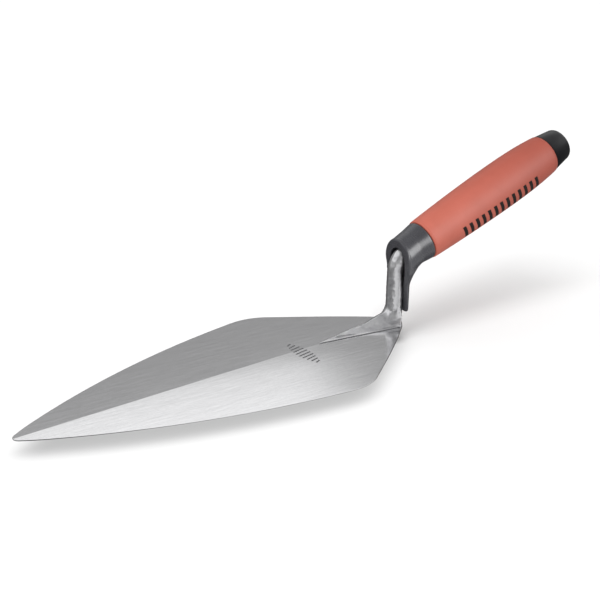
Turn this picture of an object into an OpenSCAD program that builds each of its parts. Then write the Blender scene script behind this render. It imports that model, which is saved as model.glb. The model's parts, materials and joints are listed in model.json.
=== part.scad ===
// Brick trowel, London pattern: ground steel blade, forged cranked shank and a
// moulded two-material handle with a finger guard.
// Origin: on the flat underside of the blade, below the foot of the shank.
// +X points to the tip of the blade, +Z up through the shank. Millimetres.

/* [Blade] */
// Length of the blade, from the tip to the corner where its heel edges would meet
blade_length = 279.4; // [254:0.1:305]
// Widest point, across the shoulders
blade_width = 136.5; // [125:0.5:150]
// Angle of each heel edge from the centre line
heel_angle = 41.3; // [38:0.1:45]
// Rounding of the shoulders
shoulder_r = 30; // [20:1:40]
// Radius of the long bowed sides
side_r = 500; // [460:10:560]
// Radius of the nose, between the bowed side and the tip
nose_r = 130; // [90:5:180]
// Radius of the tip
tip_r = 4.5; // [3:0.5:7]
// Thickness of the flat zone around the foot
heel_flat_t = 1.5; // [1.3:0.1:1.7]
// Height of the ground ridge, carried back to the foot
ridge_t = 1.9; // [1.8:0.1:2.4]
// Fall of the ridge towards the tip
taper_angle = 0.25; // [0.15:0.05:0.3]
// Fall of each ground face from the ridge to the edge
grind_angle = 1.0; // [0.8:0.05:1.1]

/* [Shank] */
// Distance from the heel corner to the axis of the neck
heel_setback = 10.8; // [9.5:0.1:12]
// Diameter of the neck
neck_d = 11; // [10:0.1:12]
// Backward lean of the neck
neck_lean = 4.4; // [2:0.1:6]
// Centre-line radius of the crank
crank_r = 15; // [12:0.5:16]
// Reach of the thin spear of the foot towards the tip
spear_reach = 59; // [50:1:66]
// Reach of the thick root of the foot
root_reach = 41; // [36:1:46]
// Half width of the foot where it meets the heel edge
foot_half_w = 11.5; // [10:0.5:12]
// Diameter of the tang where it enters the handle
tang_d = 9; // [8:0.5:10]
// Diameter of the tang at its far end
tang_tip_d = 6.5; // [5:0.5:8]

/* [Handle] */
// Height of the handle axis above the underside, over the neck
handle_height = 43; // [40:0.5:48]
// Rise of the handle axis towards the butt
handle_tilt = 19.5; // [16:0.5:23]
// Distance along the axis at which the grip starts
grip_start = 23; // [22:0.5:25]
// Distance along the axis at which the grip ends
grip_end = 135; // [130:0.5:138]
// Distance along the axis to the thickest point of the grip
grip_peak = 92; // [85:1:100]
// Diameter of the grip at its front rim
grip_front_d = 27.4; // [26:0.1:29]
// Diameter of the grip at its thickest point
grip_d = 31.5; // [30:0.1:33]
// Diameter of the grip at its rear rim
grip_rear_d = 27.2; // [26:0.1:29]
// Distance along the axis to the butt
handle_end = 151; // [149:0.5:156]

/* [Guard] */
// Outer half width of the arch around the neck
arch_r = 12.9; // [12.6:0.1:14]
// Half width of the opening in the arch
opening_r = 7.3; // [6.8:0.1:7.8]
// Outer radius of the leg at its lower end
leg_r = 9.4; // [9:0.1:10]
// Clearance of the leg above the underside of the blade
leg_lift = 9; // [7:0.5:11]

/* [Hidden] */
$fn = 64;

// ---- blade outline: heel corner, shoulder, side, nose and tip arcs, each tangent to the next ----
heel_r = 13;
heel = [-heel_setback, 0];
tip_x = blade_length - heel_setback;
heel_c = heel + [heel_r / sin(heel_angle), 0];
heel_n = [-sin(heel_angle), cos(heel_angle)];
heel_t = [cos(heel_angle), sin(heel_angle)];
tip_c = [tip_x - tip_r, 0];
// The bowed side peaks a little behind the shoulder, so the shoulder is still falling towards the tip
side_c = [14.6, blade_width / 2 + 4.4 - side_r];

// Point that is ra from a and rb from b, on the +Y side of the line from a to b
function meet(a, ra, b, rb) =
    let (d = norm(b - a), u = (b - a) / d, m = (ra * ra - rb * rb + d * d) / (2 * d))
    a + m * u + sqrt(ra * ra - m * m) * [-u[1], u[0]];

// Centre of the arc of radius r that touches the heel edge and the inside of the bowed side
function shoulder_centre(r) =
    let (d = heel - r * heel_n - side_c, b = d * heel_t)
    heel - r * heel_n + (sqrt(b * b - d * d + pow(side_r - r, 2)) - b) * heel_t;

function bearing(from, to) = atan2(to[1] - from[1], to[0] - from[0]);
function arc(c, r, a0, a1, n) = [for (i = [0:n]) c + r * [cos(a0 + (a1 - a0) * i / n), sin(a0 + (a1 - a0) * i / n)]];

shoulder_c = shoulder_centre(shoulder_r);
nose_c = meet(side_c, side_r - nose_r, tip_c, nose_r - tip_r);
heel_edge_a = 90 + heel_angle;
side_a0 = bearing(side_c, shoulder_c);
side_a1 = bearing(side_c, nose_c);
nose_a = bearing(nose_c, tip_c);
half_outline = concat(
    arc(heel_c, heel_r, 180, heel_edge_a, 6),
    arc(shoulder_c, shoulder_r, heel_edge_a, side_a0, 14),
    arc(side_c, side_r, side_a0, side_a1, 16),
    arc(nose_c, nose_r, side_a1, nose_a, 8),
    arc(tip_c, tip_r, nose_a, 0, 6));

module blade_outline() {
    last = len(half_outline) - 1;
    polygon(concat(half_outline, [for (i = [last - 1:-1:1]) [half_outline[i][0], -half_outline[i][1]]]));
}

module blade() {
    // Each ground face is cut by a slab that runs past the blade all round
    spare = 10;
    color("silver") difference() {
        linear_extrude(heel_flat_t) blade_outline();
        for (side = [0, 1]) mirror([0, side, 0])
            translate([-heel_setback, 0, ridge_t]) rotate([0, taper_angle, 0])
                rotate([-grind_angle, 0, 0]) translate([-spare, -spare / 2, 0])
                    cube([blade_length + 2 * spare, blade_width, spare]);
    }
}

// ---- shank: foot on the blade, leaning neck, crank and the tang inside the handle ----
neck_r = neck_d / 2;
crank_turn = 90 - handle_tilt - neck_lean;
crank_leg = crank_r * tan(crank_turn / 2);
// Where the axis of the neck meets the axis of the handle
crank_z = handle_height / (1 - tan(neck_lean) * tan(handle_tilt));
crank_x = -crank_z * tan(neck_lean);
neck_length = norm([crank_x, crank_z]) - crank_leg;
tang_end = 118;
spear_t = 0.6;
foot_top_z = heel_flat_t + 2;
knuckle_z = 5.5;
knuckle_top_z = 11;
// How far the knuckle swells out in front of the neck's axis
knuckle_reach = 4.5;

module along_neck() { rotate([0, -neck_lean, 0]) children(); }
// Local Z runs along the handle axis, from its start at the crank to the butt
module along_handle() { translate([crank_x, 0, crank_z]) rotate([0, handle_tilt - 90, 0]) children(); }

// Thin spear pointing at the tip, cut flush with the heel edges
module spear() {
    root_x = foot_half_w / tan(heel_angle) - heel_setback;
    waist = [spear_reach * 0.62, foot_half_w * 0.5];
    translate([0, 0, heel_flat_t]) linear_extrude(spear_t) intersection() {
        blade_outline();
        polygon([[-heel_setback, 0], [root_x, foot_half_w], waist, [spear_reach, 0],
            [waist[0], -waist[1]], [root_x, -foot_half_w]]);
    }
}

module foot() {
    // The root starts inside the thickness of the spear
    root_z = heel_flat_t + spear_t / 2;
    toe_r = 1;
    // Rear corners of the root, set in from the rim of the foot
    corner_r = 1.2;
    corner_x = 3;
    corner_y = foot_half_w - 3;
    spear();
    // Thick root, sloping up to the knuckle in front of the neck
    hull() {
        translate([root_reach - toe_r, 0, root_z]) cylinder(r = toe_r, h = 0.8, $fn = 32);
        for (side = [-1, 1])
            translate([corner_x, side * corner_y, root_z]) cylinder(r = corner_r, h = 1.4, $fn = 32);
        knuckle(knuckle_z + 1);
    }
    // From the knuckle up into the neck
    hull() {
        knuckle(knuckle_z);
        along_neck() translate([0, 0, knuckle_top_z]) cylinder(r = neck_r + 0.2, h = 1, $fn = 32);
    }
}

// Swelling round the front of the neck, at height z along it
module knuckle(z) {
    along_neck() translate([0, 0, z]) {
        cylinder(r = neck_r + 0.3, h = 1, $fn = 32);
        translate([knuckle_reach, 0, 0]) cylinder(r = neck_r - 0.6, h = 0.6, $fn = 32);
    }
}

// Bend from the neck into the handle, starting at the top of the neck
module crank(r) {
    along_neck() translate([-crank_r, 0, neck_length]) rotate([90, 0, 0])
        rotate_extrude(angle = crank_turn) translate([crank_r, 0]) circle(r);
}

// Tapered tang, thinner than the crank, so that the crank ends in a shoulder
module tang() {
    start = crank_leg - 0.5;
    along_handle() translate([0, 0, start]) cylinder(d1 = tang_d, d2 = tang_tip_d, h = tang_end - start);
}

module shank() {
    color("lightgray") {
        foot();
        along_neck() translate([0, 0, foot_top_z]) cylinder(r = neck_r, h = neck_length - foot_top_z);
        crank(neck_r);
        tang();
    }
}

// ---- finger guard: collar under the grip, arch around the crank and a channelled leg behind the neck ----
guard_front_x = -4.2;
guard_front_lean = 1.7;
arch_z = 43.2;
rim_t = 3;
collar_front_d = 24.6;
collar_front = 14;
spigot_r = 9;
spigot_start = 13;
channel_r = neck_r + 0.6;
armpit_r = 12.5;
armpit_half_w = 4;
armpit_z = 25;
// The round back of the leg ends this far below the arch's centre, inside the collar
leg_top_drop = 9;

module guard_blank() {
    leg_back_x = -armpit_z * tan(neck_lean) - leg_r;
    // Collar, running forward into the top of the arch
    hull() {
        along_handle() translate([0, 0, grip_start - 1]) cylinder(d = grip_front_d - 0.4, h = 1);
        along_handle() translate([0, 0, collar_front]) cylinder(d = collar_front_d, h = 1);
        translate([guard_front_x - rim_t, 0, arch_z]) intersection() {
            rotate([0, 90, 0]) cylinder(r = arch_r, h = rim_t);
            translate([0, -arch_r, -4]) cube([rim_t, 2 * arch_r, 2 * arch_r]);
        }
    }
    // Front rim, narrowing from the arch to the rounded end of the leg
    translate([guard_front_x - rim_t, 0, 0]) rotate([90, 0, 90]) linear_extrude(rim_t) {
        hull() {
            translate([0, arch_z]) circle(arch_r);
            translate([0, armpit_z + 2]) circle(leg_r);
        }
        hull() for (x = [-1, 1], z = [leg_lift + 4, armpit_z]) translate([x * (leg_r - 5), z]) circle(4);
    }
    // Back of the leg, round behind the neck
    along_neck() translate([0, 0, leg_lift]) {
        cylinder(r1 = leg_r - 1.5, r2 = leg_r, h = 3);
        translate([0, 0, 3]) cylinder(r = leg_r, h = arch_z - leg_lift - leg_top_drop);
    }
    // Fillet between the leg and the underside of the collar
    rotate([90, 0, 0]) linear_extrude(2 * armpit_half_w, center = true) difference() {
        polygon([[guard_front_x, armpit_z], [leg_back_x, armpit_z], [leg_back_x - armpit_r, armpit_z + armpit_r],
            [leg_back_x, arch_z], [guard_front_x, arch_z]]);
        translate([leg_back_x - armpit_r, armpit_z]) circle(armpit_r);
    }
}

module finger_guard() {
    big = 80;
    color("dimgray") difference() {
        guard_blank();
        // Flat front face, leaning with the neck
        translate([guard_front_x, -big / 2, arch_z]) rotate([0, guard_front_lean, 0])
            translate([0, 0, -big]) cube([big, big, 2 * big]);
        // Channel that the neck lies in, with an arched opening in front
        along_neck() cylinder(r = channel_r, h = arch_z);
        along_neck() translate([0, -channel_r, 0]) cube([big, 2 * channel_r, arch_z]);
        translate([crank_x - 3, 0, arch_z - 1]) rotate([0, 90, 0]) cylinder(r = opening_r, h = big);
        // Way through to the handle for the crank and the tang
        crank(channel_r);
        along_handle() translate([0, 0, crank_leg - 1]) cylinder(r = channel_r + 0.4, h = grip_start - crank_leg);
        // Socket for the front spigot of the core
        along_handle() translate([0, 0, spigot_start]) cylinder(r = spigot_r, h = grip_start);
    }
}

// ---- handle: core over the tang, soft sleeve over the core, cap over its rear spigot ----
core_r = 10.6;
rear_spigot_r = 8;
cap_wall = 7;
rear_spigot_end = handle_end - cap_wall;

module handle_core() {
    color("dimgray") difference() {
        along_handle() {
            translate([0, 0, spigot_start]) cylinder(r = spigot_r, h = grip_start - spigot_start);
            translate([0, 0, grip_start]) cylinder(r = core_r, h = grip_end - grip_start);
            translate([0, 0, grip_end]) cylinder(r = rear_spigot_r, h = rear_spigot_end - grip_end);
        }
        // Socket that the tang is driven into
        tang();
    }
}

// Radius of the grip: one bow from the front rim to the peak, a fuller one from there to the rear rim
function bow(u, power) = pow(abs(u), power);
function grip_r(s) = s < grip_peak
    ? (grip_d - (grip_d - grip_front_d) * bow((grip_peak - s) / (grip_peak - grip_start), 1.75)) / 2
    : (grip_d - (grip_d - grip_rear_d) * bow((s - grip_peak) / (grip_end - grip_peak), 2.6)) / 2;

module grip_sleeve() {
    rim = 0.8;
    steps = 28;
    front = grip_start + rim;
    span = grip_end - rim - front;
    profile = concat(
        [[core_r, grip_start], [grip_front_d / 2 - rim, grip_start]],
        [for (i = [0:steps]) let (s = front + span * i / steps) [grip_r(s), s]],
        [[grip_rear_d / 2 - rim, grip_end], [core_r, grip_end]]);
    color("indianred") along_handle() rotate_extrude() polygon(profile);
}

module end_cap() {
    joint_r = grip_rear_d / 2 - 0.4;
    end_r = 11.4;
    edge_r = 4;
    end_c = [end_r - edge_r, handle_end - edge_r];
    color([0.1, 0.1, 0.1]) along_handle() difference() {
        rotate_extrude() polygon(concat(
            [[0, grip_end], [joint_r, grip_end]],
            arc(end_c, edge_r, 10, 90, 8),
            [[0, handle_end]]));
        translate([0, 0, grip_end - 1]) cylinder(r = rear_spigot_r, h = rear_spigot_end - grip_end + 1);
    }
}

blade();
shank();
finger_guard();
handle_core();
grip_sleeve();
end_cap();
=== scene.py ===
"""Brick trowel: ground steel blade, forged cranked shank and a two-material handle with a finger guard."""

import json
from math import cos, pi, radians, sin, tan

import bmesh
import bpy
import numpy as np
import openvdb
from mathutils import Matrix, Vector, noise


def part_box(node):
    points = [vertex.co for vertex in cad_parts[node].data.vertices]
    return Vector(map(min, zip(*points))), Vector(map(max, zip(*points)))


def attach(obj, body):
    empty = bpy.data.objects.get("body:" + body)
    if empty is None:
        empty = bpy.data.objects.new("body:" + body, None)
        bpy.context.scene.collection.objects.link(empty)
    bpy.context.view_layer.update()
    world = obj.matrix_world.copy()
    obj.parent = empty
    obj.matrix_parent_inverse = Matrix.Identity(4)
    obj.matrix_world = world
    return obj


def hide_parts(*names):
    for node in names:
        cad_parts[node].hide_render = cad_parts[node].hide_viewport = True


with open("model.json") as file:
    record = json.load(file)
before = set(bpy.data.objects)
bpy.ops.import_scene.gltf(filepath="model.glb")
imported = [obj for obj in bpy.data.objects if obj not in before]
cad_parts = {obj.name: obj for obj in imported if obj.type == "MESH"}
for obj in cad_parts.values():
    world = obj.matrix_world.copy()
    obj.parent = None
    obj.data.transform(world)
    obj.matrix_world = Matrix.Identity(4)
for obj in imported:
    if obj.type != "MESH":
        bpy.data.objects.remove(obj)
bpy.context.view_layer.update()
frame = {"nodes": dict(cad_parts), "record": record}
MM = 0.001

# ---------------------------------------------------------------- places from the frame, in millimetres


def corners(node):
    """Lowest and highest corner of a CAD node."""
    low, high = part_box(node)
    return np.array(low) / MM, np.array(high) / MM


def cad_points(node):
    """Every vertex of a CAD node."""
    mesh = frame["nodes"][node].data
    flat = np.zeros(len(mesh.vertices) * 3, np.float32)
    mesh.vertices.foreach_get("co", flat)
    return flat.reshape(-1, 3).astype(float) / MM


mounts = {m["name"]: m for m in frame["record"]["mounts"]}
grip_point = np.array(mounts["hand_grip"]["pos_m"]) / MM
handle_dir = np.array(mounts["hand_grip"]["axis"])
handle_dir /= np.linalg.norm(handle_dir)

# The neck leans back from the origin and meets the handle axis at the corner of the crank
NECK_LEAN = radians(4.4)
NECK_R = 5.5
CRANK_R = 15
neck_dir = np.array([-sin(NECK_LEAN), 0, cos(NECK_LEAN)])
reach = (grip_point[2] * neck_dir[0] - grip_point[0] * neck_dir[2]) / (
    handle_dir[2] * neck_dir[0] - handle_dir[0] * neck_dir[2])
corner = grip_point - reach * handle_dir
crank_turn = np.arccos(neck_dir @ handle_dir)
crank_leg = CRANK_R * tan(crank_turn / 2)
# Centre of the crank's bend, behind the neck
crank_start = corner - crank_leg * neck_dir
crank_centre = crank_start - CRANK_R * np.array([neck_dir[2], 0, -neck_dir[0]])


def along_handle(node):
    """First and last distance of a CAD node along the handle axis, from the corner of the crank."""
    distance = (cad_points(node) - corner) @ handle_dir
    return distance.min(), distance.max()


grip_start, grip_end = along_handle("grip_sleeve")
cap_start, cap_end = along_handle("end_cap")
tang_end = along_handle("shank")[1]

# ---------------------------------------------------------------- meshes


def new_object(name, points, faces, material, smooth=True):
    """Object of a mesh given in millimetres."""
    mesh = bpy.data.meshes.new(name)
    mesh.from_pydata((np.asarray(points) * MM).tolist(), [], [list(map(int, f)) for f in faces])
    mesh.validate()
    mesh.polygons.foreach_set("use_smooth", [smooth] * len(mesh.polygons))
    mesh.materials.append(material)
    item = bpy.data.objects.new(name, mesh)
    bpy.context.scene.collection.objects.link(item)
    return item


def add_piece(item, node):
    """Fixes a piece to the frame and lets it stand for its CAD node, if it has one."""
    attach(item, "root")
    if node:
        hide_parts(node)
    return item


def weld(item, distance):
    """Merges points closer than a distance in millimetres, and turns all faces outwards."""
    mesh = bmesh.new()
    mesh.from_mesh(item.data)
    bmesh.ops.remove_doubles(mesh, verts=mesh.verts, dist=distance * MM)
    bmesh.ops.dissolve_degenerate(mesh, edges=mesh.edges, dist=distance * MM)
    bmesh.ops.recalc_face_normals(mesh, faces=mesh.faces)
    mesh.to_mesh(item.data)
    mesh.free()


def lathe(name, profile, material, segments=128):
    """Closed profile of (distance, radius) pairs, turned round the handle axis."""
    side = np.array([0, 1, 0])
    up = np.cross(handle_dir, side)
    rows = len(profile)
    points, index = [], {}
    for i, (distance, radius) in enumerate(profile):
        # A row on the axis is one point
        for j in range(segments if radius > 0 else 1):
            turn = 2 * pi * j / segments
            index[i, j] = len(points)
            points.append(corner + distance * handle_dir + radius * (cos(turn) * side + sin(turn) * up))
    faces = []
    for i in range(rows):
        k = (i + 1) % rows
        for j in range(segments):
            after = (j + 1) % segments
            places = ((i, j), (k, j), (k, after), (i, after))
            ring = list(dict.fromkeys(index.get(place, index[place[0], 0]) for place in places))
            if len(ring) > 2:
                faces.append(ring)
    return new_object(name, points, faces, material)


# ---------------------------------------------------------------- fields, which are negative inside a shape

LATTICE_PITCH = 0.35
LATTICE_MARGIN = 1.5
FAR_OUTSIDE = 10.0


def skin(name, node, field, material, finish=None):
    """Object of the closed surface where a field round a CAD node passes through zero."""
    low, high = corners(node)
    low = low - LATTICE_MARGIN
    x, y, z = (np.arange(a, b + LATTICE_MARGIN + LATTICE_PITCH, LATTICE_PITCH) for a, b in zip(low, high))
    values = field(x[:, None, None], y[None, :, None], z[None, None, :])
    grid = openvdb.FloatGrid(FAR_OUTSIDE)
    grid.copyFromArray(np.ascontiguousarray(values, dtype=np.float32))
    points, quads = grid.convertToQuads(isovalue=0.0)
    points = low + points.astype(float) * LATTICE_PITCH
    quads = quads[:, ::-1]
    if finish:
        points = finish(points, quads)
    return new_object(name, points, quads, material)


def join(a, b, r):
    """Both shapes, with a fillet of radius r between them."""
    return np.maximum(r, np.minimum(a, b)) - np.hypot(np.maximum(r - a, 0), np.maximum(r - b, 0))


def keep(a, b, r):
    """What lies in both shapes, with an edge of radius r."""
    return np.minimum(-r, np.maximum(a, b)) + np.hypot(np.maximum(r + a, 0), np.maximum(r + b, 0))


def cut(a, b, r):
    """The first shape without the second, with an edge of radius r."""
    return keep(a, -b, r)


def blend(t, low, high):
    """Smooth rise from 0 at low to 1 at high."""
    u = np.clip((t - low) / (high - low), 0, 1)
    return u * u * (3 - 2 * u)


def plane(x, y, z, a, b, c):
    """Distance above the plane through three points, which run anticlockwise seen from above."""
    normal = np.cross(np.subtract(b, a), np.subtract(c, a))
    normal = normal / np.linalg.norm(normal)
    return (x - a[0]) * normal[0] + (y - a[1]) * normal[1] + (z - a[2]) * normal[2]


def wall(x, side, a, b):
    """Distance outside the upright wall over the line from a to b, with the middle plane inside it."""
    outward = np.array([a[1] - b[1], b[0] - a[0]])
    outward = outward / np.linalg.norm(outward)
    return (x - a[0]) * outward[0] + (side - a[1]) * outward[1]


def capsule_chain(x, y, z, stations):
    """Round limb in the middle plane through stations of (x, z, radius)."""
    limbs = []
    for (ax, az, ar), (bx, bz, br) in zip(stations, stations[1:]):
        dx, dz = bx - ax, bz - az
        t = np.clip(((x - ax) * dx + (z - az) * dz) / (dx * dx + dz * dz), 0, 1)
        flat = (x - ax - t * dx) ** 2 + (z - az - t * dz) ** 2
        limbs.append(np.sqrt(flat + y * y) - (ar + t * (br - ar)))
    return np.minimum.reduce(limbs)


def neck_coordinates(x, z):
    """Distance in front of the neck's axis, and height along it."""
    return x * neck_dir[2] - z * neck_dir[0], x * neck_dir[0] + z * neck_dir[2]


def handle_coordinates(x, z):
    """Distance above the handle's axis, and along it."""
    dx, dz = x - corner[0], z - corner[2]
    return dz * -handle_dir[0] + dx * handle_dir[2], dx * handle_dir[0] + dz * handle_dir[2]


def on_handle(distance, radius):
    """Station of a round limb at a distance along the handle's axis."""
    place = corner + distance * handle_dir
    return place[0], place[2], radius


def bend_offset(x, z):
    """Distance in the middle plane out of the bend, from the centre line of neck, crank and tang."""
    front, _ = neck_coordinates(x, z)
    above, _ = handle_coordinates(x, z)
    dx, dz = x - crank_centre[0], z - crank_centre[2]
    before = dx * neck_dir[0] + dz * neck_dir[2] < 0
    after = dx * handle_dir[0] + dz * handle_dir[2] > 0
    return np.where(before, front, np.where(after, above, np.hypot(dx, dz) - CRANK_R))


# ---------------------------------------------------------------- materials


class Paint:
    """Short calls that add nodes to one material and join them."""

    # Sockets of the mix node that carry colours
    MIX_A, MIX_B, MIX_RESULT = 6, 7, 2

    def __init__(self, name, **sockets):
        self.material = bpy.data.materials.new(name)
        self.material.use_nodes = True
        self.nodes = self.material.node_tree.nodes
        self.shader = self.nodes["Principled BSDF"]
        for socket, value in sockets.items():
            self.shader.inputs[socket.replace("_", " ")].default_value = value
        self.place = self.node("ShaderNodeTexCoord").outputs["Object"]

    def node(self, kind, settings=(), **inputs):
        """New node with the given settings and inputs."""
        node = self.nodes.new(kind)
        for key, value in dict(settings).items():
            setattr(node, key, value)
        for key, value in inputs.items():
            self.set(node.inputs[key.replace("_", " ")], value)
        return node

    def set(self, socket, value):
        """Links another node's output to a socket, or sets its value."""
        if isinstance(value, bpy.types.NodeSocket):
            self.material.node_tree.links.new(value, socket)
        else:
            socket.default_value = value

    def noise(self, scale, detail=3, stretch=(1, 1, 1), turn=0):
        """Noise with about scale features per millimetre, stretched along the axes after a turn about Z."""
        turned = self.node("ShaderNodeMapping", Vector=self.place, Rotation=(0, 0, turn))
        spread = self.node("ShaderNodeMapping", Vector=turned.outputs[0],
                           Scale=tuple(scale * s / MM for s in stretch))
        return self.node("ShaderNodeTexNoise", Vector=spread.outputs[0], Scale=1, Detail=detail,
                         Roughness=0.5).outputs["Fac"]

    def ramp(self, value, low, high, start=0.0, end=1.0):
        """Value's range from start to end, turned into low to high."""
        return self.node("ShaderNodeMapRange", Value=value, From_Min=start, From_Max=end, To_Min=low,
                         To_Max=high).outputs[0]

    def add(self, a, b):
        """Sum of two values."""
        node = self.node("ShaderNodeMath", {"operation": "ADD"})
        self.set(node.inputs[0], a)
        self.set(node.inputs[1], b)
        return node.outputs[0]

    def mix(self, share, a, b):
        """Colour from a at share 0 to b at share 1."""
        node = self.node("ShaderNodeMix", {"data_type": "RGBA"}, Factor=share)
        for socket, colour in ((self.MIX_A, a), (self.MIX_B, b)):
            self.set(node.inputs[socket], (*colour, 1) if isinstance(colour, tuple) else colour)
        return node.outputs[self.MIX_RESULT]

    def bump(self, height, depth, strength, normal=None):
        """Bump of the given depth in millimetres."""
        node = self.node("ShaderNodeBump", Height=height, Strength=strength, Distance=depth * MM)
        if normal:
            self.set(node.inputs["Normal"], normal)
        return node.outputs[0]

    def connect(self, **sockets):
        """Sets or links the shader's sockets, and gives the finished material."""
        for socket, value in sockets.items():
            self.set(self.shader.inputs[socket.replace("_", " ")], value)
        return self.material


def ground_steel():
    """Satin steel with the fine parallel scratches of a grinding belt."""
    paint = Paint("ground_steel", Metallic=1.0)
    belt_turn = radians(5)
    scratch = (0.05, 1, 0)
    grain = paint.noise(2.5, 3, (0.03, 1, 0), belt_turn)
    streak = paint.noise(1.1, 3, scratch, belt_turn)
    band = paint.noise(0.4, 3, scratch, belt_turn)
    cloud = paint.noise(0.02, 3)
    mottle = paint.ramp(paint.noise(0.6, 2), -0.25, 0.25, 0.3, 0.7)
    share = paint.add(paint.ramp(streak, 0.0, 1.0, 0.3, 0.7), mottle)
    tone = paint.mix(share, (0.685, 0.685, 0.695), (0.775, 0.775, 0.785))
    rough = paint.ramp(band, 0.10, 0.14, 0.3, 0.7)
    wave = paint.bump(cloud, depth=0.05, strength=0.2)
    scratches = paint.bump(grain, depth=0.003, strength=0.4, normal=wave)
    return paint.connect(Base_Color=tone, Roughness=rough, Normal=scratches)


def forged_steel():
    """Forging that was only roughly polished."""
    paint = Paint("forged_steel", Metallic=1.0)
    patch = paint.noise(0.22, 4)
    pits = paint.noise(0.8, 4)
    tone = paint.mix(paint.ramp(patch, 0.0, 1.0, 0.3, 0.7), (0.60, 0.60, 0.62), (0.76, 0.76, 0.77))
    rough = paint.ramp(patch, 0.28, 0.40, 0.35, 0.65)
    return paint.connect(Base_Color=tone, Roughness=rough, Normal=paint.bump(pits, depth=0.08, strength=0.4))


def moulded_plastic(name, dark, light, roughness):
    """Moulded plastic with a fine eroded texture."""
    paint = Paint(name, IOR=1.5)
    grain = paint.noise(3.0, 3)
    cloud = paint.noise(0.08, 3)
    tone = paint.mix(paint.ramp(cloud, 0.0, 1.0, 0.35, 0.65), dark, light)
    rough = paint.ramp(grain, roughness - 0.04, roughness + 0.06, 0.3, 0.7)
    return paint.connect(Base_Color=tone, Roughness=rough, Normal=paint.bump(grain, depth=0.02, strength=0.4))


def soft_rubber():
    """Matt terracotta rubber, a little mottled, with painted shade that darkens it towards the butt."""
    paint = Paint("soft_rubber", IOR=1.45, Sheen_Weight=0.04, Sheen_Roughness=0.5)
    grain = paint.noise(4.0, 3)
    cloud = paint.noise(0.06, 4)
    # Painted shade: the lighter front tone shades into the darker rear tone along the grip, as light falling
    # off towards the butt.
    front = paint.mix(paint.ramp(cloud, 0.0, 1.0, 0.3, 0.7), (0.455, 0.102, 0.064), (0.51, 0.117, 0.076))
    rear = paint.mix(cloud, (0.295, 0.050, 0.027), (0.355, 0.062, 0.035))
    front_x, rear_x = ((corner + distance * handle_dir)[0] * MM for distance in (grip_start, grip_end))
    x = paint.node("ShaderNodeSeparateXYZ", Vector=paint.place).outputs[0]
    tone = paint.mix(paint.ramp(x, 0, 1, front_x, rear_x), front, rear)
    rough = paint.ramp(grain, 0.55, 0.68, 0.3, 0.7)
    return paint.connect(Base_Color=tone, Roughness=rough, Normal=paint.bump(grain, depth=0.03, strength=0.35))


def marking(name, colour, metallic):
    """Printed or etched mark that covers unevenly."""
    paint = Paint(name, Metallic=metallic)
    speckle = paint.noise(1.6, 3)
    worn = tuple(2.2 * c for c in colour)
    tone = paint.mix(paint.ramp(speckle, 0.0, 1.0, 0.35, 0.7), colour, worn)
    return paint.connect(Base_Color=tone, Roughness=paint.ramp(speckle, 0.45, 0.6, 0.3, 0.7))


# ---------------------------------------------------------------- blade

# Corner where the heel edges would meet, thickness there, and height of the ridge carried back to it
HEEL_X = -10.8
HEEL_T = 1.5
RIDGE_T = 1.9
TAPER = tan(radians(0.25))
GRIND = tan(radians(1.0))
HEEL_SOFTNESS = 0.45
BLADE_EDGE_R = 0.1


def half_rim(spacing=2.0, closest=0.02, nearly=0.01):
    """Outline of the blade's +Y half, from heel to tip, as a smooth curve through the CAD outline."""
    points = cad_points("blade")
    underside = points[(points[:, 2] < nearly) & (points[:, 1] > -nearly)]
    flat = np.unique(np.round(underside[:, :2], 3), axis=0)
    order = np.argsort(-np.arctan2(flat[:, 1], flat[:, 0] - flat[:, 0].mean()))
    rim = flat[order]
    step = np.linalg.norm(np.diff(rim, axis=0), axis=1)
    rim = rim[np.concatenate([[True], step > closest])]
    length = np.concatenate([[0], np.cumsum(np.linalg.norm(np.diff(rim, axis=0), axis=1))])
    tangent = np.gradient(rim, length, axis=0)
    # The outline crosses the middle line squarely at both ends
    tangent[0], tangent[-1] = (0, 1), (0, -1)
    out = []
    for i in range(len(rim) - 1):
        h = length[i + 1] - length[i]
        count = max(2, int(h / spacing))
        # Hermite curve from one point of the outline to the next
        for t in np.arange(count) / count:
            out.append((2 * t**3 - 3 * t**2 + 1) * rim[i] + (t**3 - 2 * t**2 + t) * h * tangent[i]
                       + (3 * t**2 - 2 * t**3) * rim[i + 1] + (t**3 - t**2) * h * tangent[i + 1])
    return np.array(out + [rim[-1]])


def blade_top(x, y):
    """Height of the blade's upper face: a flat heel that runs out softly into the two ground faces."""
    ground = RIDGE_T - TAPER * (x - HEEL_X) - GRIND * np.abs(y)
    h = np.clip(0.5 + (ground - HEEL_T) / (2 * HEEL_SOFTNESS), 0, 1)
    return ground * (1 - h) + HEEL_T * h - HEEL_SOFTNESS * h * (1 - h)


def blade_rows():
    """Rows of points from the middle of the underside, round the +Y edge and up to the ridge."""
    rim = half_rim()
    along = np.gradient(rim, axis=0)
    along /= np.linalg.norm(along, axis=1)[:, None]
    inward = np.stack([along[:, 1], -along[:, 0]], axis=1)
    inward[0], inward[-1] = (1, 0), (-1, 0)
    inner = rim + inward * BLADE_EDGE_R
    top = blade_top(rim[:, 0], rim[:, 1])
    arc = [(BLADE_EDGE_R * (1 - cos(a)), BLADE_EDGE_R * (1 - sin(a))) for a in np.linspace(0, pi / 2, 5)]
    rows = []
    for share in (1.0, 0.75, 0.5, 0.25, 0.05):
        rows.append(np.column_stack([inner[:, 0], inner[:, 1] * (1 - share), np.zeros(len(rim))]))
    for back, drop in arc[::-1]:
        rows.append(np.column_stack([rim + inward * back, np.full(len(rim), drop)]))
    for back, drop in arc:
        rows.append(np.column_stack([rim + inward * back, top - drop]))
    # The first row, close to the edge, keeps the shading of the flat face from turning with the edge
    for share in (0.005, *np.linspace(0, 1, 25)[1:]):
        x, y = inner[:, 0], inner[:, 1] * (1 - share)
        rows.append(np.column_stack([x, y, blade_top(x, y)]))
    return rows


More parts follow.
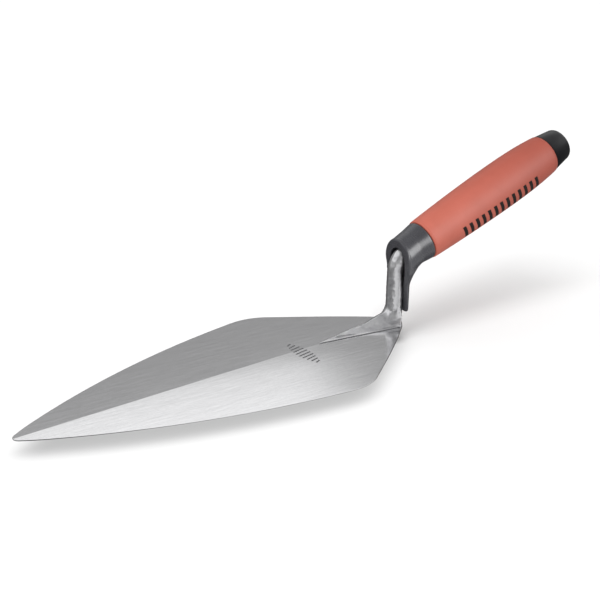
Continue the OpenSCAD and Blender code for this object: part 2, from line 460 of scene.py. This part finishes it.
def crease_ridge(plate):
    """Marks the edges along the middle of the upper face as sharp."""
    points = plate.data.vertices
    for edge in plate.data.edges:
        ends = [points[n].co for n in edge.vertices]
        edge.use_edge_sharp = all(abs(p.y) < 1e-6 and p.z > 0.5 * MM for p in ends)


def blade_mesh(material):
    """Plate with rounded edges, a flat underside and a ridge down the middle."""
    rows = blade_rows()
    count, width = len(rows[0]), len(rows)
    half = np.stack(rows, axis=1).reshape(-1, 3)
    points = np.vstack([half, half * (1, -1, 1)])
    faces = []
    for i in range(count - 1):
        for k in range(width - 1):
            a, b = i * width + k, (i + 1) * width + k
            faces.append((a, b, b + 1, a + 1))
            faces.append(tuple(n + len(half) for n in (a, a + 1, b + 1, b)))
    plate = new_object("blade_plate", points, faces, material)
    weld(plate, distance=0.002)
    crease_ridge(plate)
    return plate


# ---------------------------------------------------------------- shank

HEEL_ANGLE = radians(41.3)
HEEL_SLOPE = tan(HEEL_ANGLE)
HEEL_R = 13
# The foot is widest on the heel edges, highest at the knuckle, and ends in a blunt toe and a thin spear
FOOT_HALF_W = 11.5
FOOT_CORNER = (FOOT_HALF_W / HEEL_SLOPE + HEEL_X, FOOT_HALF_W, HEEL_T + 2.1)
FOOT_CREST = (7, 1.0, 8.8)
FOOT_TOE = (42, 1.2, HEEL_T + 1.5)
FOOT_BACK_X = -2
FOOT_TOP = 9.5
FOOT_HOLLOW = 0.9
HOLLOW_START_X, HOLLOW_MIDDLE_X = 6, 24
SPEAR_TIP = (59.5, 0)
SPEAR_T = 0.6
KNUCKLE_X, KNUCKLE_Z, KNUCKLE_R = 3.0, 6.5, 4.2
KNUCKLE_SPREAD = 0.75
# The back of the foot leans out from the heel edges, and lets the neck go between two heights
BACK_LEAN = 0.12
RELEASE_START_Z, RELEASE_END_Z = 12, 30
RELEASE = 20
SEAM_H, SEAM_W = 0.25, 0.7
TANG_R, TANG_TIP_R = 4.5, 3.25


def heel_field(x, side):
    """Outside the heel edges, with the rounded corner between them."""
    centre_x = HEEL_X + HEEL_R / sin(HEEL_ANGLE)
    rounded = np.hypot(x - centre_x, side) - HEEL_R
    straight = (side - (x - HEEL_X) * HEEL_SLOPE) * cos(HEEL_ANGLE)
    return np.where(x < centre_x - HEEL_R * sin(HEEL_ANGLE), rounded, straight)


def root_field(x, side, z):
    """Thick root of the foot: a hollowed roof that falls from the crest to the toe, with a step round it."""
    _, up = neck_coordinates(x, z)
    sides = np.maximum(wall(x, side, FOOT_CORNER, FOOT_TOE), heel_field(x, side))
    hollow = blend(x, HOLLOW_START_X, HOLLOW_MIDDLE_X) * (1 - blend(x, HOLLOW_MIDDLE_X, FOOT_TOE[0]))
    roof = plane(x, side, z, FOOT_CORNER, FOOT_CREST, FOOT_TOE) + FOOT_HOLLOW * hollow
    root = keep(keep(sides, roof, r=0.3), FOOT_BACK_X - x, r=1.0)
    return np.maximum(root, np.maximum(up - FOOT_TOP, HEEL_T - z))


def knuckle_field(x, y, z):
    """Ball under the neck, wider than it is long."""
    return np.sqrt((x - KNUCKLE_X) ** 2 + (y * KNUCKLE_SPREAD) ** 2 + (z - KNUCKLE_Z) ** 2) - KNUCKLE_R


def rod_field(x, y, z):
    """Round neck and crank, with the parting line of the forging dies along the outside of the bend."""
    _, along = handle_coordinates(x, z)
    outward = bend_offset(x, z)
    seam = SEAM_H * np.exp(-(y / SEAM_W) ** 2) * (outward > 0)
    rod = np.hypot(outward, y) - NECK_R - seam
    return np.maximum(rod, np.maximum(along - crank_leg, HEEL_T - z))


def tang_field(x, y, z):
    """Tapered tang inside the handle, from the end of the crank."""
    above, along = handle_coordinates(x, z)
    radius = TANG_R + (TANG_TIP_R - TANG_R) * (along - crank_leg) / (tang_end - crank_leg)
    return np.maximum(np.hypot(above, y) - radius, np.maximum(along - tang_end, crank_leg - 0.5 - along))


def spear_field(x, side, z):
    """Thin spear on the blade, round the root and beyond its toe."""
    sides = np.maximum(wall(x, side, FOOT_CORNER, SPEAR_TIP), heel_field(x, side))
    return np.maximum(sides, np.maximum(z - HEEL_T - SPEAR_T, HEEL_T - z))


def shank_field(x, y, z):
    """The whole forging."""
    side = np.abs(y)
    heel = heel_field(x, side)
    foot = join(root_field(x, side, z), np.maximum(knuckle_field(x, y, z), heel), r=2.0)
    body = join(foot, rod_field(x, y, z), r=3.0)
    back = heel - (z - HEEL_T) * BACK_LEAN - RELEASE * blend(z, RELEASE_START_Z, RELEASE_END_Z)
    body = np.maximum(body, np.maximum(back, HEEL_T - z))
    return np.minimum(np.minimum(body, spear_field(x, side, z)), tang_field(x, y, z))


def dent(point, fineness, depth, shift):
    """Height of one layer of dents at a point."""
    return noise.noise(point * fineness + Vector(shift)) * depth


def forge(points, faces):
    """Gives the exposed forging shallow dents, with finer ones round the middle of the neck."""
    mesh = bpy.data.meshes.new("forging")
    mesh.from_pydata(points.tolist(), [], faces.tolist())
    normals = np.zeros(len(points) * 3, np.float32)
    mesh.vertices.foreach_get("normal", normals)
    bpy.data.meshes.remove(mesh)
    normals = normals.reshape(-1, 3)
    out = points.copy()
    handle_x, neck_middle_z, neck_reach = -14, 17, 12
    # Dents start just above the blade and are full 2 mm higher
    bare = np.clip((points[:, 2] - HEEL_T - 0.3) / 2, 0, 1) * (points[:, 0] > handle_x)
    for i in np.flatnonzero(bare):
        point = Vector(points[i])
        neck = 1 - min(1.0, abs(point.z - neck_middle_z) / neck_reach)
        wave = dent(point, fineness=0.16, depth=0.22, shift=(0, 0, 0))
        wave += dent(point, fineness=0.5, depth=0.13, shift=(7, 3, 1))
        wave += dent(point, fineness=0.9, depth=0.12, shift=(2, 9, 4)) * neck
        out[i] += normals[i] * wave * bare[i]
    return out


def shank_mesh(material):
    """Forging of foot, neck, crank and tang."""
    return skin("forged_shank", "shank", shank_field, material, forge)


# ---------------------------------------------------------------- finger guard

GUARD_FRONT_X = -4.2
GUARD_LEAN = tan(radians(1.7))
# The arch starts beyond the front face, which cuts it off
ARCH_START_X, ARCH_END_X = 8, -5
ARCH_Z, ARCH_R = 43.2, 12.35
OPENING_R, OPENING_END_X = 7.3, -12
# Distances along the handle: the waist behind the arch, and the start of the socket
WAIST, WAIST_R = 13.5, 12.1
SOCKET_START, SOCKET_R = 13, 9
# The collar widens towards a place inside the grip, and stops short of the grip's front rim
COLLAR_REACH, COLLAR_R = 12, 14.9
COLLAR_GAP = 0.25
LEG_R, LEG_CHANNEL_R = 9.5, 5.75
# Heights along the neck: the ends of the leg, where its channel widens, and where the way through starts
LEG_LIFT, LEG_TOP = 9, 33
WIDENING_START, WIDENING_END = 22, 42
WAY_START = 34
BEAD_R = 1.1
BEAD_INSET = 0.85


def guard_outside(x, y, z):
    """Arch, collar and leg, cut off by a leaning front face with a bead round its rim."""
    front, up = neck_coordinates(x, z)
    _, along = handle_coordinates(x, z)
    arch = [(ARCH_START_X, ARCH_Z, ARCH_R), (ARCH_END_X, ARCH_Z, ARCH_R)]
    collar = [on_handle(WAIST, WAIST_R), on_handle(grip_start + COLLAR_REACH, COLLAR_R)]
    tube = keep(capsule_chain(x, y, z, arch + collar), along - grip_start + COLLAR_GAP, r=1.1)
    leg = keep(np.hypot(front, y) - LEG_R, LEG_LIFT - up, r=2.2)
    body = join(tube, np.maximum(leg, up - LEG_TOP), r=7.5)
    face = x - GUARD_FRONT_X + (ARCH_Z - z) * GUARD_LEAN
    bead = np.hypot(body + BEAD_INSET, face + BEAD_R) - BEAD_R
    return join(keep(body, face, r=0.9), bead, r=0.4)


def guard_hollow(x, y, z):
    """Channel behind the neck, the arch's opening that it widens into, and the way through the bend."""
    front, up = neck_coordinates(x, z)
    _, along = handle_coordinates(x, z)
    half = LEG_CHANNEL_R + (OPENING_R - LEG_CHANNEL_R) * blend(up, WIDENING_START, WIDENING_END)
    channel = np.where(front > 0, np.abs(y), np.hypot(front, y)) - half
    channel = np.maximum(channel, up - ARCH_Z)
    way = np.hypot(bend_offset(x, z), y) - OPENING_R
    way = np.maximum(way, np.maximum(along - SOCKET_START, WAY_START - up))
    opening = np.maximum(np.hypot(y, z - ARCH_Z) - OPENING_R, OPENING_END_X - x)
    return join(join(channel, way, r=0.5), opening, r=0.5)


def guard_field(x, y, z):
    """The whole guard, with the socket for the handle core."""
    above, along = handle_coordinates(x, z)
    socket = np.maximum(np.hypot(above, y) - SOCKET_R, SOCKET_START - along)
    return np.maximum(cut(guard_outside(x, y, z), guard_hollow(x, y, z), r=0.35), -socket)


def guard_mesh(material):
    """Moulding of arch, collar and leg."""
    return skin("guard_moulding", "finger_guard", guard_field, material)


# ---------------------------------------------------------------- grip and cap

GRIP_PEAK = 92
GRIP_FRONT_R, GRIP_R, GRIP_REAR_R = 13.7, 15.75, 13.6
GRIP_LIP_R = 0.9
CORE_R = 10.6


def grip_radius(distance):
    """One bow from the front rim to the peak, a fuller one from there to the rear rim."""
    if distance < GRIP_PEAK:
        return GRIP_R - (GRIP_R - GRIP_FRONT_R) * ((GRIP_PEAK - distance) / (GRIP_PEAK - grip_start)) ** 1.75
    return GRIP_R - (GRIP_R - GRIP_REAR_R) * ((distance - GRIP_PEAK) / (grip_end - GRIP_PEAK)) ** 2.6


def grip_mesh(material):
    """Bowed sleeve with a rounded lip at each end."""
    lip = [(GRIP_LIP_R * (1 - cos(a)), GRIP_LIP_R * (1 - sin(a))) for a in np.linspace(0, pi / 2, 9)]
    front = [(grip_start + back, GRIP_FRONT_R - drop) for back, drop in lip]
    rear = [(grip_end - back, GRIP_REAR_R - drop) for back, drop in lip[::-1]]
    inner = GRIP_LIP_R + 0.05
    bow = [(s, grip_radius(s)) for s in np.linspace(grip_start + inner, grip_end - inner, 90)]
    return lathe("soft_grip", [(grip_start, CORE_R), *front, *bow, *rear, (grip_end, CORE_R)], material)


def cap_mesh(material):
    """Tapered cap with a small chamfer at the joint, a soft edge, a dished end and a socket for the core."""
    joint_r, end_r, edge_r = GRIP_REAR_R - 0.4, 11.4, 4.0
    socket_r, socket_end = 8.0, cap_end - 7
    seat = cap_start + 0.15
    joint = [(seat, joint_r - 0.5), (seat + 0.15, joint_r - 0.15), (seat + 0.5, joint_r)]
    edge = [(cap_end - edge_r + edge_r * sin(a), end_r - edge_r + edge_r * cos(a))
            for a in np.linspace(radians(10), pi / 2, 14)]
    dish = [(cap_end, 3.0), (cap_end - 0.15, 0.0)]
    socket = [(socket_end, 0.0), (socket_end, socket_r)]
    return lathe("butt_cap", [(seat, socket_r), *joint, *edge, *dish, *socket], material)


# ---------------------------------------------------------------- plain marks


def slab(surface, u_span, v_span, lean, rise, cells=8):
    """Thin closed slab on a surface(u, v, lift), over spans of u and v, whose far end leans by lean in u."""
    points = []
    for lift in (-rise, rise):
        for t in np.arange(cells + 1) / cells:
            v = v_span[0] + (v_span[1] - v_span[0]) * t
            points += [surface(u + lean * t, v, lift) for u in u_span]
    top = 2 * (cells + 1)
    faces = []
    for a in range(0, 2 * cells, 2):
        b = a + 2
        faces.append((top + a, top + a + 1, top + b + 1, top + b))
        faces.append((a, b, b + 1, a + 1))
        faces.append((a, top + a, top + b, b))
        faces.append((a + 1, b + 1, top + b + 1, top + a + 1))
    last = 2 * cells
    faces.append((0, 1, top + 1, top))
    faces.append((last, top + last, top + last + 1, last + 1))
    return points, faces


def slabs(name, parts, material):
    """One object of several slabs."""
    points, faces = [], []
    for part_points, part_faces in parts:
        start = len(points)
        points += part_points
        faces += [tuple(start + n for n in face) for face in part_faces]
    item = new_object(name, points, faces, material, smooth=False)
    weld(item, distance=0.0001)
    return item


def on_grip(distance, turn, lift):
    """Point on the grip, at a turn down from its +Y side."""
    side = np.array([0, 1, 0])
    down = np.cross(handle_dir, side)
    radius = grip_radius(distance) + lift
    return corner + distance * handle_dir + radius * (cos(turn) * side + sin(turn) * down)


def on_blade(y, x, lift):
    """Point on the blade's upper face."""
    return np.array([x, y, float(blade_top(x, y)) + lift])


def grip_bars(material):
    """Row of slanted plain bars printed along the lower side of the grip."""
    count, first, pitch, width, lean = 13, 46, 5.4, 2.6, 2.4
    turns = (radians(3), radians(44))
    starts = [first + i * pitch for i in range(count)]
    bars = [slab(on_grip, (start, start + width), turns, lean, rise=0.05) for start in starts]
    return slabs("grip_bars", bars, material)


def blade_bars(material):
    """Row of slanted plain bars etched across the blade in front of the foot, longest in the middle."""
    count, first_y, last_y, middle_x, width, lean = 10, -12, 20, 75, 1.3, 1.6
    end_half, bulge = 1.8, 3.0
    bars = []
    for i in range(count):
        t = i / (count - 1)
        y = first_y + (last_y - first_y) * t
        half = end_half + bulge * sin(pi * t)
        bars.append(slab(on_blade, (y, y + width), (middle_x - half, middle_x + half), lean, rise=0.025))
    return slabs("blade_bars", bars, material)


# ---------------------------------------------------------------- camera, floor and light

CAMERA_PLACE = (0.54094, 0.70862, 0.36563)
CAMERA_AZIMUTH, CAMERA_ELEVATION, CAMERA_ROLL = radians(33.49), radians(21.2914), radians(-2.4363)


def make_camera():
    """Camera beyond the tip, on the +Y side, that looks down at the trowel."""
    data = bpy.data.cameras.new("camera")
    data.sensor_width = 36
    data.lens = 88.24
    data.clip_end = 50
    item = bpy.data.objects.new("camera", data)
    bpy.context.scene.collection.objects.link(item)
    look = Vector((-sin(CAMERA_AZIMUTH) * cos(CAMERA_ELEVATION), -cos(CAMERA_AZIMUTH) * cos(CAMERA_ELEVATION),
                   -sin(CAMERA_ELEVATION)))
    right = Vector((-cos(CAMERA_AZIMUTH), sin(CAMERA_AZIMUTH), 0))
    up = right.cross(look)
    rolled_right = cos(CAMERA_ROLL) * right + sin(CAMERA_ROLL) * up
    rolled_up = cos(CAMERA_ROLL) * up - sin(CAMERA_ROLL) * right
    turn = Matrix((rolled_right, rolled_up, -look)).transposed().to_4x4()
    item.matrix_world = Matrix.Translation(CAMERA_PLACE) @ turn
    bpy.context.scene.camera = item


def make_floor():
    """Large pale floor below the blade, that shows in no reflection."""
    paint = Paint("pale_floor", Roughness=0.9, Specular_IOR_Level=0.0, Emission_Strength=0.06)
    paint.connect(Base_Color=paint.mix(paint.noise(0.002, 2), (0.60, 0.60, 0.60), (0.61, 0.61, 0.61)))
    size, drop = 12000, 10
    points = [(-size, -size, -drop), (size, -size, -drop), (size, size, -drop), (-size, size, -drop)]
    floor = new_object("floor", points, [(0, 1, 2, 3)], paint.material)
    floor.visible_glossy = False
    floor.visible_shadow = False
    return floor


def toward(azimuth, elevation):
    """Unit vector at degrees from +Y towards +X, and degrees above the horizon."""
    a, e = radians(azimuth), radians(elevation)
    return sin(a) * cos(e), cos(a) * cos(e), sin(e)


def make_world():
    """Surround, seen in reflections only: a bright ceiling with a sloping edge, and a dim band under it."""
    world = bpy.data.worlds.new("studio")
    world.use_nodes = True
    bpy.context.scene.world = world
    nodes, links = world.node_tree.nodes, world.node_tree.links
    place = nodes.new("ShaderNodeTexCoord").outputs["Generated"]

    def rise(direction, low, high, first, last):
        """Smooth change from first to last as the cosine to a direction goes from low to high."""
        dot = nodes.new("ShaderNodeVectorMath")
        dot.operation = "DOT_PRODUCT"
        dot.inputs[1].default_value = direction
        links.new(place, dot.inputs[0])
        ramp = nodes.new("ShaderNodeMapRange")
        ramp.interpolation_type = "SMOOTHSTEP"
        for socket, value in zip(("From Min", "From Max", "To Min", "To Max"), (low, high, first, last)):
            ramp.inputs[socket].default_value = value
        links.new(dot.outputs["Value"], ramp.inputs["Value"])
        return ramp.outputs[0]

    def climb(zenith, start, end, below, above):
        """Change between two elevations in degrees, measured towards a zenith."""
        return rise(zenith, sin(radians(start)), sin(radians(end)), below, above)

    def spot(centre, outer, inner, outside, inside):
        """Change between two angles in degrees from a centre."""
        return rise(centre, cos(radians(outer)), cos(radians(inner)), outside, inside)

    def combine(operation, a, b):
        """Sum or product of two outputs."""
        node = nodes.new("ShaderNodeMath")
        node.operation = operation
        links.new(a, node.inputs[0])
        links.new(b, node.inputs[1])
        return node.outputs[0]

    straight_up, slope_up = (0, 0, 1), toward(299, 85)
    band = climb(straight_up, start=-5, end=15, below=0.12, above=0.37)
    ceiling = climb(slope_up, start=23.5, end=27.5, below=0, above=0.82)
    # Flags hold the light back in one direction each
    rear_flag = spot(toward(229, 15), outer=18.5, inner=16, outside=1, inside=0)
    zenith_flag = climb(straight_up, start=48, end=68, below=1, above=0.2)
    front_flag = spot(toward(20, 20), outer=62, inner=30, outside=1, inside=0.3)
    ceiling = combine("MULTIPLY", combine("MULTIPLY", ceiling, rear_flag), zenith_flag)
    light = combine("MULTIPLY", combine("ADD", ceiling, band), front_flag)
    links.new(light, nodes["Background"].inputs["Strength"])
    nodes["Background"].inputs["Color"].default_value = (1, 1, 1, 1)
    world.cycles_visibility.diffuse = False


def make_lamp(name, direction, lit, angle, energy, shown="diffuse", blockers=None):
    """Distant lamp of an angular size in degrees, for the matt or the glossy light of some objects only."""
    data = bpy.data.lights.new(name, "SUN")
    data.energy = energy
    data.angle = radians(angle)
    item = bpy.data.objects.new(name, data)
    item.rotation_euler = Vector(direction).to_track_quat("Z", "Y").to_euler()
    bpy.context.scene.collection.objects.link(item)
    item.visible_diffuse = shown == "diffuse"
    item.visible_glossy = shown == "glossy"
    item.light_linking.receiver_collection = lit
    if blockers:
        item.light_linking.blocker_collection = blockers


def group(name, pieces):
    """Collection of pieces that a lamp lights, or that shade it."""
    collection = bpy.data.collections.new(name)
    for piece in pieces:
        collection.objects.link(piece)
    return collection


def make_lamps(floor, forging, guard, grip, others):
    """Lamps for the floor's shadows, for the raised pieces, and for the gloss of steel and plastic."""
    ground = group("ground", [floor])
    raised = group("raised", [forging, guard, grip, *others])
    low = group("low", [forging, guard])
    glinting = group("glinting", [guard, grip])
    make_lamp("overhead", (0.10, 0.05, 1), ground, angle=110, energy=2.85)
    # The blade doesn't shade this one, so that under the blade there is only the overhead lamp's shadow
    make_lamp("key", (0.32, 0.28, 1), ground, angle=45, energy=2.6, blockers=raised)
    make_lamp("front_dome", toward(30, 40), raised, angle=150, energy=3.8)
    make_lamp("sky", (0, 0, 1), raised, angle=180, energy=0.7)
    make_lamp("soft_box", toward(-22, 20), glinting, angle=40, energy=3.3, shown="glossy")
    make_lamp("low_front", toward(30, -15), low, angle=70, energy=0.85, shown="glossy")
    make_lamp("low_right", toward(-50, -15), low, angle=70, energy=0.8, shown="glossy")


# ---------------------------------------------------------------- assembly

make_camera()
floor = make_floor()
make_world()
bpy.context.scene.view_settings.view_transform = "Standard"

slate_plastic = moulded_plastic("slate_plastic", (0.040, 0.040, 0.046), (0.050, 0.050, 0.057), roughness=0.28)
core_plastic = moulded_plastic("core_plastic", (0.05, 0.05, 0.055), (0.07, 0.07, 0.075), roughness=0.5)
black_plastic = moulded_plastic("black_plastic", (0.004, 0.004, 0.005), (0.007, 0.007, 0.008), roughness=0.36)
etched_steel = marking("etched_steel", (0.12, 0.12, 0.125), metallic=1.0)
dark_ink = marking("dark_ink", (0.010, 0.007, 0.006), metallic=0.0)

add_piece(blade_mesh(ground_steel()), "blade")
forging = add_piece(shank_mesh(forged_steel()), "shank")
guard = add_piece(guard_mesh(slate_plastic), "finger_guard")
grip = add_piece(grip_mesh(soft_rubber()), "grip_sleeve")
cap = add_piece(cap_mesh(black_plastic), "end_cap")
add_piece(blade_bars(etched_steel), None)
printed = add_piece(grip_bars(dark_ink), None)
make_lamps(floor, forging, guard, grip, [cap, printed])

core = frame["nodes"]["handle_core"]
core.data.materials.clear()
core.data.materials.append(core_plastic)
